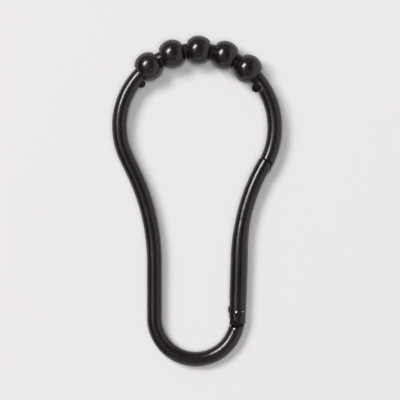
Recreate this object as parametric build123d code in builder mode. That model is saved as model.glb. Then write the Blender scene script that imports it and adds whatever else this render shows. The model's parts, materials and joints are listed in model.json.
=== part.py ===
from build123d import *
from math import atan2, cos, degrees, radians, sin, sqrt, tan
import os

# Roller ring for a shower curtain, hanging on its rod.
# Millimetres. X runs to the right, Z up, and Y away from the viewer, along the rod.
# The origin is the centre of the ring's round top, where the rod's centre would be.

# Wire, and its centreline from the top of the ring down the left arm and round the loop
wire_diameter = 3.6
top_radius = 18.89
left_top_sweep = 55.96
shoulder_radius = 17.74
shoulder_sweep = 59.49
arm_length = 4.33
waist_radius = 50.17
side_length = 13.2
loop_radius = 10.0
gate_lean = 1.8

# Right arm of the frame, and the gate's waist that meets it
right_top_sweep = 50.0
right_radius = 18.44
gate_waist_radius = 44.13
gate_step = 0.18

# Nose: a square end face, with a lip that laps over the outside of the gate's tip.
# It stands a little above the point where the arm's curve and the waist's curve touch.
# The joint's faces lean from back to front, so that the two ends overlap in every view.
nose_rise = 1.13
nose_gap = 0.2
nose_lean = 9.0
lip_length = 2.4
lip_thickness = 0.75
lip_tip_thickness = 0.2
lip_depth = 2.0
lip_clearance = 0.1
lip_lean = 4.0
tip_round = 0.15

# Stop ears, small flat lugs on the inner side of the wire
ear_angles = (-51.3, 55.7)
ear_radius = 1.05
ear_reach = 0.88
ear_thickness = 1.1
ear_round = 0.2

# Roller beads
bead_count = 5
bead_diameter = 7.1
bead_length = 5.5
bead_clearance = 0.25
bead_pitch_angle = 19.57
bead_row_angle = 1.3
bead_lift = 0.1
bead_rim_round = 0.07

# Hinge: a flat tongue on the frame, in a slot across the gate's lower end
rivet_height = 1.3
rivet_offset = 0.25
tongue_thickness = 1.2
tongue_side_radius = 1.4
tongue_top_height = 1.65
tongue_corner_reach = 2.5
tongue_corner_height = 0.25
tongue_corner_round = 0.12
shoulder_drop = 3.4
shoulder_slope = 32.0
slot_clearance = 0.1
slot_height = 3.6

# Rivet
rivet_diameter = 1.2
rivet_clearance = 0.05
rivet_head_diameter = 1.7
rivet_head_height = 0.36
rivet_head_round = 0.22
rivet_seat_diameter = 2.1
rivet_seat_depth = 0.36

# Barrel of the gate, with heights from the rivet
barrel_diameter = 4.2
barrel_to_waist_length = 1.2
swell_length = 8.3
gate_end_drop = 2.24
gate_end_round = 0.2
heel_chamfer_width = 1.3
heel_chamfer_height = 1.0
heel_chamfer_lean = 18.0

# Spring and plunger in the gate's bore, with heights from the rivet
bore_diameter = 1.9
bore_top_drop = 0.4
plunger_clearance = 0.05
plunger_rest_gap = 0.1
plunger_head_share = 0.28
plunger_nose_round = 0.3
plunger_pin_diameter = 0.85
plunger_pin_share = 0.21
spring_wire_diameter = 0.3
spring_clearance = 0.08
spring_pitch = 0.88

# Worked out from the sizes above
wire_radius = wire_diameter / 2
bead_radius = bead_diameter / 2
bead_bore_radius = wire_radius + bead_clearance
bead_sag = (bead_length / 2) ** 2 / (2 * top_radius)
bead_axis_radius = top_radius - bead_sag / 2 + bead_lift
tongue_half = tongue_thickness / 2
shoulder_rise = (wire_radius - tongue_half) * tan(radians(shoulder_slope))
slot_half = tongue_half + slot_clearance
barrel_radius = barrel_diameter / 2
rivet_seat = barrel_radius - rivet_seat_depth
bore_radius = bore_diameter / 2
lap_reach = lip_length + wire_diameter
cutter = 2 * wire_diameter


def ring_point(radius, angle):
    """A point in the ring's plane, by its angle from the top."""
    return (radius * sin(radians(angle)), radius * cos(radians(angle)))


# Centreline of the left arm and the loop
with BuildLine(Plane.XZ) as left_line:
    top_arc = JernArc((0, top_radius), (-1, 0), top_radius, left_top_sweep)
    shoulder_arc = JernArc(top_arc @ 1, top_arc % 1, shoulder_radius, shoulder_sweep)
    arm_line = PolarLine(shoulder_arc @ 1, arm_length, direction=shoulder_arc % 1)
    waist_turn = 90 - left_top_sweep - shoulder_sweep
    waist_arc = JernArc(arm_line @ 1, arm_line % 1, waist_radius, waist_turn)
    side_line = PolarLine(waist_arc @ 1, side_length, direction=waist_arc % 1)
    loop_arc = JernArc(side_line @ 1, side_line % 1, loop_radius, 180 - gate_lean)
    tongue_line = PolarLine(loop_arc @ 1, rivet_height + tongue_top_height, direction=loop_arc % 1)

# Hinge plane: the origin is the rivet, the first axis points out of the ring, the second up the gate
gate_foot = tongue_line @ 0
gate_axis = tongue_line % 0
outward = gate_axis.cross(Vector(0, -1, 0))
rivet_centre = gate_foot + gate_axis * rivet_height + outward * rivet_offset
hinge_plane = Plane(origin=rivet_centre, x_dir=outward, z_dir=(0, -1, 0))

# The waist's centre: its curve touches the gate's straight line and the curve of the right arm,
# apart from a small step that leaves the gate's tip inside the line of the arm
right_centre_x, right_centre_z = ring_point(top_radius - right_radius, right_top_sweep)
right_centre = Vector(right_centre_x, 0, right_centre_z)
foot_to_centre = right_centre - gate_foot
waist_side = gate_waist_radius - foot_to_centre.dot(outward)
centre_distance = right_radius + gate_waist_radius - gate_step
waist_fall = sqrt(centre_distance**2 - waist_side**2)
gate_straight_length = foot_to_centre.dot(gate_axis) - waist_fall
waist_centre = gate_foot + outward * gate_waist_radius + gate_axis * gate_straight_length
touch_line = waist_centre - right_centre
right_sweep = degrees(atan2(touch_line.X, touch_line.Z) - nose_rise / right_radius) - right_top_sweep
barrel_top_height = gate_straight_length - rivet_height - barrel_to_waist_length
bore_top_height = barrel_top_height - bore_top_drop

# The plunger's head and pin are shares of the bore above the tongue, and the spring fills the rest
plunger_foot = tongue_top_height + plunger_rest_gap
plunger_head_length = plunger_head_share * (bore_top_height - plunger_foot)
plunger_pin_length = plunger_pin_share * (bore_top_height - plunger_foot)
plunger_shoulder = plunger_foot + plunger_head_length

# Centreline of the right arm, with a straight stretch past the nose for the lip
with BuildLine(Plane.XZ) as right_line:
    crown_arc = JernArc((0, top_radius), (1, 0), top_radius, -right_top_sweep)
    right_arc = JernArc(crown_arc @ 1, crown_arc % 1, right_radius, -right_sweep)
    PolarLine(right_arc @ 1, lap_reach, direction=right_arc % 1)

# Nose plane: the origin is the wire's end, the first axis points out of the ring, the second up the arm
nose_direction = right_arc % 1
nose_outward = nose_direction.cross(Vector(0, 1, 0))
nose_plane = Plane(origin=right_arc @ 1, x_dir=nose_outward, z_dir=(0, -1, 0))
upward_lean = nose_direction * -tan(radians(nose_lean))
inward_lean = nose_outward * -tan(radians(lip_lean))
nose_lean_line = Vector(0, -1, 0) + upward_lean + inward_lean


def gate_section(height):
    """The plane square across the gate's straight stretch, at a height from the rivet."""
    return Plane(hinge_plane.from_local_coords((-rivet_offset, height)), x_dir=outward, z_dir=gate_axis)


def wire_section(path, position):
    """The plane square across a wire, a share of the way along its centreline."""
    direction = path % position
    return Plane(path @ position, x_dir=direction.cross(Vector(0, -1, 0)), z_dir=direction)


def radial_plane(angle):
    """The plane through the ring's centre line, at an angle from the top, with its first axis outward."""
    c, s = cos(radians(angle)), sin(radians(angle))
    return Plane(origin=(0, 0, 0), x_dir=(s, 0, c), z_dir=(c, 0, -s))


def end_rim(piece, point):
    """The round part of the rim of the flat end face that lies nearest to a point."""
    end_face = piece.faces().filter_by(GeomType.PLANE).sort_by_distance(point)[0]
    return end_face.edges().filter_by(GeomType.LINE, reverse=True)


os.makedirs("parts", exist_ok=True)

# Frame
with BuildPart() as ring_frame:
    ear_centre_radius = top_radius - wire_radius - ear_reach + ear_radius
    with BuildSketch(Plane.XZ):
        with Locations(*[ring_point(ear_centre_radius, angle) for angle in ear_angles]):
            Circle(ear_radius)
    extrude(amount=ear_thickness / 2, both=True)
    fillet(ring_frame.edges().filter_by(GeomType.CIRCLE), ear_round)
    wire_path = Wire(left_line.edges() + right_line.edges())
    with BuildSketch(wire_section(wire_path, 0)):
        Circle(wire_radius)
    sweep(path=wire_path)
    # Lap at the nose
    with BuildSketch(nose_plane):
        Polygon(
            (-cutter, 0),
            (wire_radius - lip_thickness, 0),
            (wire_radius - lip_tip_thickness, -lip_length),
            (cutter, -lip_length),
            (cutter, -lap_reach - cutter),
            (-cutter, -lap_reach - cutter),
            align=None,
        )
    extrude(amount=wire_diameter, dir=nose_lean_line, both=True, mode=Mode.SUBTRACT)
    fillet(end_rim(ring_frame, nose_plane.origin), tip_round)
    # The lip is flat in front and behind
    for lean_line in (nose_lean_line, -nose_lean_line):
        flat_centre = nose_plane.origin + lean_line * lip_depth / 2
        with BuildSketch(Plane(flat_centre, x_dir=nose_outward, z_dir=nose_plane.z_dir)):
            Rectangle(cutter, cutter, align=(Align.MIN, Align.MAX))
        extrude(amount=wire_diameter, dir=lean_line, mode=Mode.SUBTRACT)
    # Tongue: the wire's end pressed flat, with sloped shoulders below it
    with BuildSketch(Plane(origin=rivet_centre, x_dir=(0, 1, 0), z_dir=outward)):
        with BuildLine():
            Polyline(
                (tongue_half, cutter),
                (tongue_half, shoulder_rise - shoulder_drop),
                (wire_radius, -shoulder_drop),
                (wire_radius + cutter, -shoulder_drop),
                (wire_radius + cutter, cutter),
                close=True,
            )
        make_face()
        mirror(about=Plane.YZ)
    extrude(amount=wire_diameter, both=True, mode=Mode.SUBTRACT)
    with BuildSketch(hinge_plane) as tongue_outline:
        with BuildLine():
            inner_edge = -rivet_offset - wire_radius
            Polyline(
                (0, tongue_top_height),
                (-tongue_corner_reach, tongue_top_height),
                (-tongue_corner_reach, tongue_corner_height),
                (inner_edge, 0),
                (inner_edge, -shoulder_drop),
                (0, -shoulder_drop),
                close=True,
            )
        make_face()
        fillet(tongue_outline.vertices().group_by(Axis.Y)[-1].sort_by(Axis.X)[0], tongue_corner_round)
    extrude(amount=tongue_half, both=True)
    # The tongue's outer top corner is rounded about the rivet
    with BuildSketch(hinge_plane):
        with Locations((0, 0)):
            Rectangle(cutter, cutter, align=(Align.MIN, Align.MIN))
            Circle(tongue_side_radius, mode=Mode.SUBTRACT)
    extrude(amount=tongue_thickness, both=True, mode=Mode.SUBTRACT)
    with Locations(hinge_plane):
        Cylinder(rivet_diameter / 2 + rivet_clearance, cutter, mode=Mode.SUBTRACT)
ring_frame.part.label = "ring_frame"
export_step(ring_frame.part, "parts/ring_frame.step")

# Centrelines of the gate: the swell above the barrel, then the bar up to the nose
swell_turn = degrees((swell_length - barrel_to_waist_length) / gate_waist_radius)
with BuildLine(Plane.XZ) as swell_line:
    swell_foot = PolarLine(gate_section(barrel_top_height).origin, barrel_to_waist_length, direction=gate_axis)
    swell_arc = JernArc(swell_foot @ 1, gate_axis, gate_waist_radius, -swell_turn)
bar_end = Plane(nose_plane.origin - nose_direction * nose_rise, z_dir=nose_direction)
with BuildLine(Plane.XZ) as bar_line:
    JernArc(swell_arc @ 1, swell_arc % 1, gate_waist_radius, bar_end)

# Gate
with BuildPart() as gate:
    with BuildSketch(wire_section(bar_line.line, 0)):
        Circle(wire_radius)
    sweep(path=bar_line.wire())
    with BuildSketch(gate_section(barrel_top_height)):
        Circle(barrel_radius)
    with BuildSketch(wire_section(bar_line.line, 0)):
        Circle(wire_radius)
    sweep(path=swell_line.wire(), multisection=True)
    with BuildSketch(gate_section(-gate_end_drop)):
        Circle(barrel_radius)
    extrude(amount=barrel_top_height + gate_end_drop)
    fillet(gate.edges().sort_by(Axis.Z)[0], gate_end_round)
    # Heel chamfer, so that the inner corner clears the frame's shoulder as the gate opens
    with BuildSketch(hinge_plane):
        heel_side = -rivet_offset - barrel_radius
        Polygon(
            (heel_side - heel_chamfer_width, 2 * heel_chamfer_height - gate_end_drop),
            (heel_side + 2 * heel_chamfer_width, -gate_end_drop - heel_chamfer_height),
            (heel_side - heel_chamfer_width, -gate_end_drop - heel_chamfer_height),
            align=None,
        )
    extrude(amount=barrel_diameter, both=True, taper=-heel_chamfer_lean, mode=Mode.SUBTRACT)
    # Tip: the end face, and the slope that makes room for the frame's lip
    with BuildSketch(nose_plane):
        Polygon(
            (-cutter, -nose_gap),
            (wire_radius - lip_thickness - lip_clearance, -nose_gap),
            (wire_radius - lip_tip_thickness - lip_clearance, -lip_length - nose_gap),
            (cutter, -lip_length - nose_gap),
            (cutter, cutter),
            (-cutter, cutter),
            align=None,
        )
    extrude(amount=wire_diameter, dir=nose_lean_line, both=True, mode=Mode.SUBTRACT)
    fillet(end_rim(gate, nose_plane.origin), tip_round)
    # Bore for the spring, and the slot for the tongue
    with BuildSketch(gate_section(-gate_end_drop)):
        Circle(bore_radius)
    extrude(amount=gate_end_drop + bore_top_height, mode=Mode.SUBTRACT)
    with BuildSketch(Plane(origin=rivet_centre, x_dir=(0, 1, 0), z_dir=outward)):
        with Locations((0, slot_height)):
            Rectangle(2 * slot_half, cutter, align=(Align.CENTER, Align.MAX))
    extrude(amount=barrel_diameter, both=True, mode=Mode.SUBTRACT)
    # Rivet hole, with a flat seat for each head
    with Locations(hinge_plane):
        Cylinder(rivet_diameter / 2, cutter, mode=Mode.SUBTRACT)
    for side in (1, -1):
        with BuildSketch(hinge_plane.offset(side * rivet_seat)):
            Circle(rivet_seat_diameter / 2)
        extrude(amount=side * wire_diameter, mode=Mode.SUBTRACT)
gate.part.label = "gate"
export_step(gate.part, "parts/gate.step")

# Rivet
with BuildPart() as gate_rivet:
    with BuildSketch(Plane(origin=rivet_centre, x_dir=outward, z_dir=gate_axis)):
        Rectangle(rivet_diameter / 2, 2 * rivet_seat, align=(Align.MIN, Align.CENTER))
        with Locations((0, rivet_seat), (0, -rivet_seat - rivet_head_height)):
            Rectangle(rivet_head_diameter / 2, rivet_head_height, align=Align.MIN)
    revolve(axis=Axis(rivet_centre, (0, 1, 0)))
    head_rims = gate_rivet.edges().filter_by(GeomType.CIRCLE).group_by(Axis.Y)
    fillet(head_rims[0] + head_rims[-1], rivet_head_round)
gate_rivet.part.label = "gate_rivet"
export_step(gate_rivet.part, "parts/gate_rivet.step")

# Plunger: a head that slides in the bore, and a pin that guides the spring
with BuildPart() as spring_plunger:
    with BuildSketch(gate_section(plunger_foot)):
        Circle(bore_radius - plunger_clearance)
    extrude(amount=plunger_head_length)
    fillet(spring_plunger.edges().sort_by(Axis.Z)[0], plunger_nose_round)
    with BuildSketch(gate_section(plunger_shoulder)):
        Circle(plunger_pin_diameter / 2)
    extrude(amount=plunger_pin_length)
spring_plunger.part.label = "spring_plunger"
export_step(spring_plunger.part, "parts/spring_plunger.step")

# Spring, from the plunger's shoulder to the end of the bore
with BuildPart() as gate_spring:
    spring_wire_radius = spring_wire_diameter / 2
    coil_radius = bore_radius - spring_clearance - spring_wire_radius
    coil_height = bore_top_height - plunger_shoulder - spring_wire_diameter
    coil_plane = gate_section(plunger_shoulder + spring_wire_radius)
    coil = Helix(spring_pitch, coil_height, coil_radius, coil_plane.origin, gate_axis)
    with BuildSketch(Plane(origin=coil @ 0, z_dir=coil % 0)):
        Circle(spring_wire_radius)
    sweep(path=coil, is_frenet=True)
gate_spring.part.label = "gate_spring"
export_step(gate_spring.part, "parts/gate_spring.step")

# Roller beads, evenly spaced along the top of the ring
for index in range(bead_count):
    bead_angle = bead_row_angle + (index - (bead_count - 1) / 2) * bead_pitch_angle
    bead_plane = radial_plane(bead_angle)
    bead_plane = bead_plane.shift_origin(bead_plane.from_local_coords((bead_axis_radius, 0)))
    with BuildPart(bead_plane) as roller_bead:
        Sphere(bead_radius)
        Cylinder(bead_radius, bead_length, mode=Mode.INTERSECT)
        Cylinder(bead_bore_radius, bead_length, mode=Mode.SUBTRACT)
        fillet(roller_bead.edges().filter_by(GeomType.CIRCLE), bead_rim_round)
    roller_bead.part.label = f"roller_bead_{index + 1}"
    export_step(roller_bead.part, f"parts/roller_bead_{index + 1}.step")
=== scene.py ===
import json
from math import cos, pi, radians, sin, tan

import bpy
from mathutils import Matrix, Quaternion, Vector


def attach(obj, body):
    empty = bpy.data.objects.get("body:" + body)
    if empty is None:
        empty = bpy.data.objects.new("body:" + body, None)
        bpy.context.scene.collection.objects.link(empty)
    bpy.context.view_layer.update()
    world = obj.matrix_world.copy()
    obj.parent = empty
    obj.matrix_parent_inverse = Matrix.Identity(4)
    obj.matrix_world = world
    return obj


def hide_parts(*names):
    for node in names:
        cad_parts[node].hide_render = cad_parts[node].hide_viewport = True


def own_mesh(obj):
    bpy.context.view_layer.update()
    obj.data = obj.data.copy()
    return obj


# Looks of a shower curtain ring: black coated wire, beads, gate and rivet, on a pale ground.
# Metres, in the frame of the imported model: X to the right, Z up, Y away from the camera.

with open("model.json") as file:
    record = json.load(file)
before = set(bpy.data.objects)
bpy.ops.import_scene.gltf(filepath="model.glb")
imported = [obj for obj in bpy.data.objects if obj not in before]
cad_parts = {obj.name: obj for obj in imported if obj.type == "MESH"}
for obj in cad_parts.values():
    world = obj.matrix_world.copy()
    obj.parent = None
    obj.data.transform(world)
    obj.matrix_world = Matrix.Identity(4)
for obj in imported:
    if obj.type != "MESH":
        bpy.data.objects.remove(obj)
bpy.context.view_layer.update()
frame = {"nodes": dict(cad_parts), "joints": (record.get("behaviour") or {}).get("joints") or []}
nodes = frame["nodes"]
joints = {joint["name"]: joint for joint in frame["joints"]}

# View
view_centre = Vector((0.000749, 0.0, -0.017253))
view_width = 0.09649
sensor_width = 36.0
lens = 200.0

# Ground: it touches the outer beads and the bottom of the loop, each given by Y and Z, so it leans
bead_contact = (0.00355, 0.0146)
loop_contact = (0.00183, -0.0572)
ground_half = 0.14

# Lamps: azimuth and elevation from the camera's axis, width, height and turn, in degrees, and level
key_lamp = (-31.0, 21.0, 19.0, 27.0, -45.0, 12.9)
fill_lamp = (3.0, -3.0, 26.0, 26.0, 0.0, 6.6)
lamp_distance = 3.0
ambient_level = 0.10

# What the coating reflects, each in front of the one before: as above, and distance in metres
reflections = {
    "room_front": (0, 0, 110, 125, 0, 0.50, 4.0),
    "room_above": (-5, 75, 150, 35, 0, 0.38, 3.9),
    "room_right": (62, 0, 50, 110, 0, 1.05, 3.8),
    "room_left": (-77, 0, 62, 110, 0, 0.12, 3.7),
    "room_centre": (18, 18, 42, 64, 0, 0.15, 3.5),
    "key_box": (-32.0, 24.5, 14.5, 29, -30, 33.0, 3.3),
    "key_spill": (-32.5, 2, 8, 22, -8, 3.2, 3.4),
}

# Colours, as linear values
ground_colour = (0.838, 0.812, 0.838)
room_colour = (0.85, 0.785, 0.825)
coat_colour = (0.0060, 0.0032, 0.0052)
bead_colour = (0.0070, 0.0030, 0.0055)
bare_colour = (0.32, 0.31, 0.30)
worn_colour = (0.28, 0.27, 0.26)
chip_colour = (0.80, 0.78, 0.77)
# A lighter colour towards the deepest gaps, painted light that lifts their shade
deep_gap_colour = (0.028, 0.023, 0.026)

# Marks in the coating: painted shade in the gaps, where the sheen fades, more of it at the nose seam, worn
# edges at the hinge, round punch marks beside the right stop, with painted shade inside them, and small
# chips. A chip's row says where it is across and up, and its radius.
# Reach of the painted shade in the gaps: the sheen fades where other surfaces are this near
gap_shade_reach = 0.0012
# The nose seam is painted darker by fading its sheen: its place, and the reach of that painted shade
nose_place = (0.0172, 0.0, -0.0089)
nose_shade_reach = (0.0016, 0.0026)
hinge_place = tuple(joints["gate_hinge"]["pos_m"])
wear_reach = (0.0030, 0.0042)
punch_place = (0.01431, 0.0, 0.00980)
punch_radius = 0.00112
punch_flatness = 0.85
# Share of the sheen kept inside the punch flats, cut down as painted shade
punch_shade_share = 0.45
burr_shift = (0.00034, 0.0, -0.00006)
rivet_chips = ((0.00934, -0.04409, 0.00022), (0.01103, -0.04412, 0.00015))
wire_chips = ((0.00805, -0.04750, 0.00022), (0.00899, -0.04824, 0.00020))

# How open the surface is, from 0 to 1, where each of these starts and ends: painted shade in the gaps and at
# the nose seam, the lighter colour in the deepest gaps, and worn edges
gap_shade_openness = (0.4, 0.9)
nose_shade_openness = (0.75, 0.97)
deep_gap_openness = (0.2, 0.7)
edge_openness = (0.55, 0.85)

# Specular level of the free surface and of the deepest gap, lowered there as painted shade, and what is left
# of it at the nose seam, painted shade too
free_sheen = 0.5
shaded_gap_sheen = 0.04
nose_shade_share = 0.05

# Noise, by its scale for each metre: the sheen and tone of whole areas, worn patches, chip outlines
area_scale = 180
patch_scale = 1300
chip_scale = 3500


def new_material(name):
    """An empty node material: the tree, its surface shader and the object's own coordinates."""
    material = bpy.data.materials.new(name)
    material.use_nodes = True
    tree = material.node_tree
    shader = next(node for node in tree.nodes if node.type == "BSDF_PRINCIPLED")
    coordinates = tree.nodes.new("ShaderNodeTexCoord")
    return material, tree, shader, coordinates.outputs["Object"]


def noise(tree, vector, scale, detail, roughness=0.5):
    """A noise texture's value."""
    node = tree.nodes.new("ShaderNodeTexNoise")
    node.inputs["Scale"].default_value = scale
    node.inputs["Detail"].default_value = detail
    node.inputs["Roughness"].default_value = roughness
    tree.links.new(vector, node.inputs["Vector"])
    return node.outputs["Fac"]


def ramp(tree, value, low, high, to_low, to_high):
    """A value moved from one range to another, and kept inside it."""
    node = tree.nodes.new("ShaderNodeMapRange")
    for name, number in zip(("From Min", "From Max", "To Min", "To Max"), (low, high, to_low, to_high)):
        node.inputs[name].default_value = number
    tree.links.new(value, node.inputs["Value"])
    return node.outputs["Result"]


def mixed_colour(tree, share, first, second):
    """Two colours mixed by a value. The first may come from another mix."""
    node = tree.nodes.new("ShaderNodeMix")
    node.data_type = "RGBA"
    into = {socket.name: socket for socket in node.inputs if socket.type == "RGBA"}
    if isinstance(first, tuple):
        into["A"].default_value = (*first, 1.0)
    else:
        tree.links.new(first, into["A"])
    into["B"].default_value = (*second, 1.0)
    tree.links.new(share, node.inputs["Factor"])
    return next(socket for socket in node.outputs if socket.type == "RGBA")


def bump(tree, height, strength, distance, normal=None):
    """A bump from a height, laid over another if one is given."""
    node = tree.nodes.new("ShaderNodeBump")
    node.inputs["Strength"].default_value = strength
    node.inputs["Distance"].default_value = distance
    tree.links.new(height, node.inputs["Height"])
    if normal is not None:
        tree.links.new(normal, node.inputs["Normal"])
    return node.outputs["Normal"]


def joined(tree, operation, first, second):
    """Two values put together by a maths operation. The second may be a plain number."""
    node = tree.nodes.new("ShaderNodeMath")
    node.operation = operation
    tree.links.new(first, node.inputs[0])
    if isinstance(second, (int, float)):
        node.inputs[1].default_value = second
    else:
        tree.links.new(second, node.inputs[1])
    return node.outputs["Value"]


def openness(tree, distance, inside):
    """How free the surface is of others nearby, or, measured inside the solid, how far it is from an edge."""
    node = tree.nodes.new("ShaderNodeAmbientOcclusion")
    node.samples = 12
    node.inside = node.only_local = inside
    node.inputs["Distance"].default_value = distance
    return node.outputs["AO"]


def vector_maths(tree, operation, first, second, output="Vector"):
    """A maths operation on two vectors. The second may be a plain one."""
    node = tree.nodes.new("ShaderNodeVectorMath")
    node.operation = operation
    tree.links.new(first, node.inputs[0])
    if isinstance(second, tuple):
        node.inputs[1].default_value = second
    else:
        tree.links.new(second, node.inputs[1])
    return node.outputs[output]


def punch_mark(tree, place, normal):
    """Round flats that a punch left beside a stop, in front and behind: normal, chipped rim and inside."""
    level = vector_maths(tree, "MULTIPLY", place, (1.0, 0.0, 1.0))
    reach = vector_maths(tree, "DISTANCE", level, punch_place, "Value")
    burr_place = tuple(a + b for a, b in zip(punch_place, burr_shift))
    burr_reach = vector_maths(tree, "DISTANCE", level, burr_place, "Value")
    depth_only = vector_maths(tree, "MULTIPLY", place, (0.0, 1.0, 0.0))
    straight = vector_maths(tree, "NORMALIZE", depth_only, (0.0, 0.0, 0.0))
    inside = ramp(tree, reach, 0.85 * punch_radius, punch_radius, punch_flatness, 0.0)
    mix = tree.nodes.new("ShaderNodeMix")
    mix.data_type = "VECTOR"
    into = {socket.name: socket for socket in mix.inputs if socket.type == "VECTOR"}
    tree.links.new(inside, mix.inputs["Factor"])
    tree.links.new(normal, into["A"])
    tree.links.new(straight, into["B"])
    flattened = next(socket for socket in mix.outputs if socket.type == "VECTOR")
    outside_flat = ramp(tree, reach, 0.95 * punch_radius, 1.05 * punch_radius, 0.0, 1.0)
    inside_burr = ramp(tree, burr_reach, punch_radius, 1.15 * punch_radius, 1.0, 0.0)
    rim = joined(tree, "MULTIPLY", outside_flat, inside_burr)
    return vector_maths(tree, "NORMALIZE", flattened, (0.0, 0.0, 0.0)), rim, inside


def chipped(tree, place, chips):
    """Small uneven spots where the coating came off, in front and behind."""
    level = vector_maths(tree, "MULTIPLY", place, (1.0, 0.0, 1.0))
    uneven = ramp(tree, noise(tree, place, chip_scale, 1), 0.35, 0.65, 0.6, 1.5)
    bare = None
    for x, z, radius in chips:
        reach = vector_maths(tree, "DISTANCE", level, (x, 0.0, z), "Value")
        reach = joined(tree, "MULTIPLY", reach, uneven)
        spot = ramp(tree, reach, 0.7 * radius, radius, 1.0, 0.0)
        bare = joined(tree, "MAXIMUM", bare, spot) if bare else spot
    return bare


def coated_metal(name, colour, gloss, grain, depth, worn_width, punched=False, chips=()):
    """Black coating on metal: grain, uneven sheen, painted shade in the gaps where the sheen fades, a lighter
    colour in the deepest gaps, edges worn by the hinge, and chips.
    """
    material, tree, shader, place = new_material(name)
    broad = noise(tree, place, area_scale, 3)
    fine = noise(tree, place, grain, 2, 0.55)
    # Painted shade: the sheen fades in the gaps between parts, and more at the nose seam
    free = openness(tree, gap_shade_reach, False)
    from_nose = vector_maths(tree, "DISTANCE", place, nose_place, "Value")
    off_nose = ramp(tree, from_nose, *nose_shade_reach, 0.0, 1.0)
    # More painted shade at the nose seam: less sheen is left there
    nose_shade = ramp(tree, free, *nose_shade_openness, nose_shade_share, 1.0)
    kept_share = joined(tree, "MAXIMUM", nose_shade, off_nose)
    sheen = joined(tree, "MULTIPLY", ramp(tree, free, *gap_shade_openness, shaded_gap_sheen, free_sheen), kept_share)

    from_hinge = vector_maths(tree, "DISTANCE", place, hinge_place, "Value")
    near = ramp(tree, from_hinge, *wear_reach, 1.0, 0.0)
    edge = ramp(tree, openness(tree, worn_width, True), *edge_openness, 1.0, 0.0)
    patchy = ramp(tree, noise(tree, place, patch_scale, 2), 0.44, 0.56, 0.0, 0.7)
    worn = joined(tree, "MULTIPLY", edge, near)
    normal = tree.nodes.new("ShaderNodeNewGeometry").outputs["Normal"]
    if punched:
        normal, rim, inside = punch_mark(tree, place, normal)
        worn = joined(tree, "MAXIMUM", worn, rim)
        # Painted shade: the sheen inside the punch flats is cut down
        kept_share = ramp(tree, inside, 0.0, punch_flatness, 1.0, punch_shade_share)
        sheen = joined(tree, "MULTIPLY", sheen, kept_share)
    worn = joined(tree, "MULTIPLY", worn, patchy)
    tree.links.new(sheen, shader.inputs["Specular IOR Level"])
    tone = ramp(tree, broad, 0.35, 0.65, 0.0, 1.0)
    lighter = tuple(channel * 1.5 for channel in colour)
    coat = mixed_colour(tree, tone, colour, lighter)
    # Painted light: a lighter colour towards the deepest gaps lifts their shade
    coat = mixed_colour(tree, ramp(tree, free, *deep_gap_openness, 1.0, 0.0), coat, deep_gap_colour)
    surface = mixed_colour(tree, worn, coat, worn_colour)
    if chips:
        bare = chipped(tree, place, chips)
        surface = mixed_colour(tree, bare, surface, chip_colour)
        worn = joined(tree, "MAXIMUM", worn, bare)
    tree.links.new(surface, shader.inputs["Base Color"])
    tree.links.new(worn, shader.inputs["Metallic"])
    tree.links.new(ramp(tree, broad, 0.3, 0.7, gloss - 0.04, gloss + 0.05), shader.inputs["Roughness"])
    tree.links.new(bump(tree, fine, 1.0, depth, normal), shader.inputs["Normal"])
    return material


def bare_steel(name, grain):
    """Drawn or turned steel with fine scratches."""
    material, tree, shader, place = new_material(name)
    scratches = noise(tree, place, grain, 4, 0.6)
    shader.inputs["Metallic"].default_value = 1.0
    tone = ramp(tree, scratches, 0.3, 0.7, 0.0, 1.0)
    darker = tuple(channel * 0.75 for channel in bare_colour)
    tree.links.new(mixed_colour(tree, tone, bare_colour, darker), shader.inputs["Base Color"])
    tree.links.new(ramp(tree, scratches, 0.3, 0.7, 0.28, 0.42), shader.inputs["Roughness"])
    tree.links.new(bump(tree, scratches, 0.3, 0.00001), shader.inputs["Normal"])
    return material


def dress(node_name, material):
    """Gives all of a CAD node's slots one material."""
    node = nodes[node_name]
    for slot in node.material_slots:
        slot.material = material


# Each coat's roughness, scale and depth of grain, and width of worn edge
wire_look = (0.23, 3400, 0.000012, 0.00006)
gate_look = (0.20, 7000, 0.000020, 0.00006)
rivet_look = (0.22, 3000, 0.000020, 0.00030)
bead_look = (0.19, 2200, 0.000006, 0.00010)

wire_coat = coated_metal("wire_coat", coat_colour, *wire_look, punched=True, chips=wire_chips)
gate_coat = coated_metal("gate_coat", coat_colour, *gate_look, chips=rivet_chips)
rivet_coat = coated_metal("rivet_coat", coat_colour, *rivet_look, chips=rivet_chips)
bead_coat = coated_metal("bead_coat", bead_colour, *bead_look)
spring_steel = bare_steel("spring_steel", 4000)
plunger_steel = bare_steel("plunger_steel", 3000)

dress("ring_frame", wire_coat)
dress("gate", gate_coat)
dress("gate_rivet", rivet_coat)
dress("gate_spring", spring_steel)
dress("spring_plunger", plunger_steel)
for name in sorted(nodes):
    if name.startswith("roller_bead"):
        dress(name, bead_coat)

# Spring: a copy of the coil in a mesh of its own, carried with the gate, in place of the imported one, which
# is hidden
coil = bpy.data.objects.new("spring_coil", nodes["gate_spring"].data.copy())
bpy.context.scene.collection.objects.link(coil)
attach(coil, "gate")
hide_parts("gate_spring")
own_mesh(coil)

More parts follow.
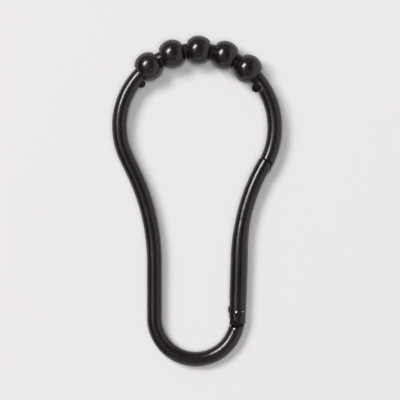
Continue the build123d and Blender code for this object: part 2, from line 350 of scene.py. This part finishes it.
# Ground: a pale sheet that the ring lies against, seen from the front only
ground_mesh = bpy.data.meshes.new("ground")
(bead_y, bead_z), (loop_y, loop_z) = bead_contact, loop_contact
lean = (bead_y - loop_y) / (bead_z - loop_z)
corners = [
    (x * ground_half, loop_y + (z * ground_half - loop_z) * lean, z * ground_half)
    for x, z in ((-1, -1), (1, -1), (1, 1), (-1, 1))
]
ground_mesh.from_pydata(corners, [], [(0, 1, 2, 3)])
ground = bpy.data.objects.new("ground", ground_mesh)
bpy.context.scene.collection.objects.link(ground)
ground_material, tree, shader, place = new_material("ground_paper")
shader.inputs["Base Color"].default_value = (*ground_colour, 1.0)
shader.inputs["Roughness"].default_value = 1.0
shader.inputs["Specular IOR Level"].default_value = 0.0
clear = tree.nodes.new("ShaderNodeBsdfTransparent")
side = tree.nodes.new("ShaderNodeNewGeometry")
either = tree.nodes.new("ShaderNodeMixShader")
output = next(node for node in tree.nodes if node.type == "OUTPUT_MATERIAL")
tree.links.new(side.outputs["Backfacing"], either.inputs["Fac"])
tree.links.new(shader.outputs["BSDF"], either.inputs[1])
tree.links.new(clear.outputs["BSDF"], either.inputs[2])
tree.links.new(either.outputs["Shader"], output.inputs["Surface"])
ground_mesh.materials.append(ground_material)

# World: plain pale light, seen as the background and in reflections
world = bpy.data.worlds.new("studio")
bpy.context.scene.world = world
world.use_nodes = True
world_tree = world.node_tree
ambient = next(node for node in world_tree.nodes if node.type == "BACKGROUND")
ambient.inputs["Color"].default_value = (*ground_colour, 1.0)
ambient.inputs["Strength"].default_value = ambient_level
shown = world_tree.nodes.new("ShaderNodeBackground")
shown.inputs["Color"].default_value = (*ground_colour, 1.0)
shown.inputs["Strength"].default_value = 1.0
path = world_tree.nodes.new("ShaderNodeLightPath")
seen = path.outputs["Is Camera Ray"]
for ray in ("Is Glossy Ray", "Is Transmission Ray"):
    seen = joined(world_tree, "MAXIMUM", seen, path.outputs[ray])
split = world_tree.nodes.new("ShaderNodeMixShader")
world_output = next(node for node in world_tree.nodes if node.type == "OUTPUT_WORLD")
world_tree.links.new(seen, split.inputs["Fac"])
world_tree.links.new(ambient.outputs["Background"], split.inputs[1])
world_tree.links.new(shown.outputs["Background"], split.inputs[2])
world_tree.links.new(split.outputs["Shader"], world_output.inputs["Surface"])


def facing(azimuth, elevation, distance, turn):
    """A place and turn that face the object, by a direction from the view axis and a turn about it."""
    a, e = radians(azimuth), radians(elevation)
    back = Vector((sin(a) * cos(e), -cos(a) * cos(e), sin(e)))
    turned = Quaternion(back, radians(turn)) @ (-back).to_track_quat("-Z", "Y")
    return view_centre + back * distance, turned


def place_at(thing, azimuth, elevation, distance, turn):
    """Puts a lamp or card in the studio. It lights or shows in the coating, and isn't seen itself."""
    thing.rotation_mode = "QUATERNION"
    thing.location, thing.rotation_quaternion = facing(azimuth, elevation, distance, turn)
    thing.visible_camera = False
    bpy.context.scene.collection.objects.link(thing)


def softbox(name, azimuth, elevation, width_angle, height_angle, turn, radiance):
    """A rectangular lamp, by the angles that it fills from the object. A card shows its reflection."""
    lamp = bpy.data.lights.new(name, "AREA")
    lamp.shape = "RECTANGLE"
    lamp.size = 2 * lamp_distance * tan(radians(width_angle / 2))
    lamp.size_y = 2 * lamp_distance * tan(radians(height_angle / 2))
    lamp.energy = radiance * pi * lamp.size * lamp.size_y
    thing = bpy.data.objects.new(name, lamp)
    place_at(thing, azimuth, elevation, lamp_distance, turn)
    thing.visible_glossy = False


def card(name, azimuth, elevation, width_angle, height_angle, turn, brightness, distance):
    """A flat card that only shows in the coating's reflections. The room's cards are a little warmer."""
    colour = room_colour if name.startswith("room") else ground_colour
    half_width = distance * tan(radians(width_angle / 2))
    half_height = distance * tan(radians(height_angle / 2))
    mesh = bpy.data.meshes.new(name)
    corners = [(x * half_width, y * half_height, 0) for x, y in ((-1, -1), (1, -1), (1, 1), (-1, 1))]
    mesh.from_pydata(corners, [], [(0, 1, 2, 3)])
    material = bpy.data.materials.new(name)
    material.use_nodes = True
    tree = material.node_tree
    glow = tree.nodes.new("ShaderNodeEmission")
    glow.inputs["Color"].default_value = (*colour, 1.0)
    glow.inputs["Strength"].default_value = brightness
    output = next(node for node in tree.nodes if node.type == "OUTPUT_MATERIAL")
    tree.links.new(glow.outputs["Emission"], output.inputs["Surface"])
    mesh.materials.append(material)
    thing = bpy.data.objects.new(name, mesh)
    place_at(thing, azimuth, elevation, distance, turn)
    thing.visible_diffuse = thing.visible_shadow = thing.visible_transmission = False


softbox("key", *key_lamp)
softbox("fill", *fill_lamp)
for name, values in reflections.items():
    card(name, *values)

# Camera
camera_data = bpy.data.cameras.new("camera")
camera_data.lens = lens
camera_data.sensor_width = sensor_width
camera = bpy.data.objects.new("camera", camera_data)
camera.location = view_centre - Vector((0, view_width * lens / sensor_width, 0))
camera.rotation_euler = (radians(90), 0, 0)
camera_data.clip_start = 0.01
camera_data.clip_end = 10
bpy.context.scene.collection.objects.link(camera)
bpy.context.scene.camera = camera
bpy.context.scene.view_settings.view_transform = "Standard"
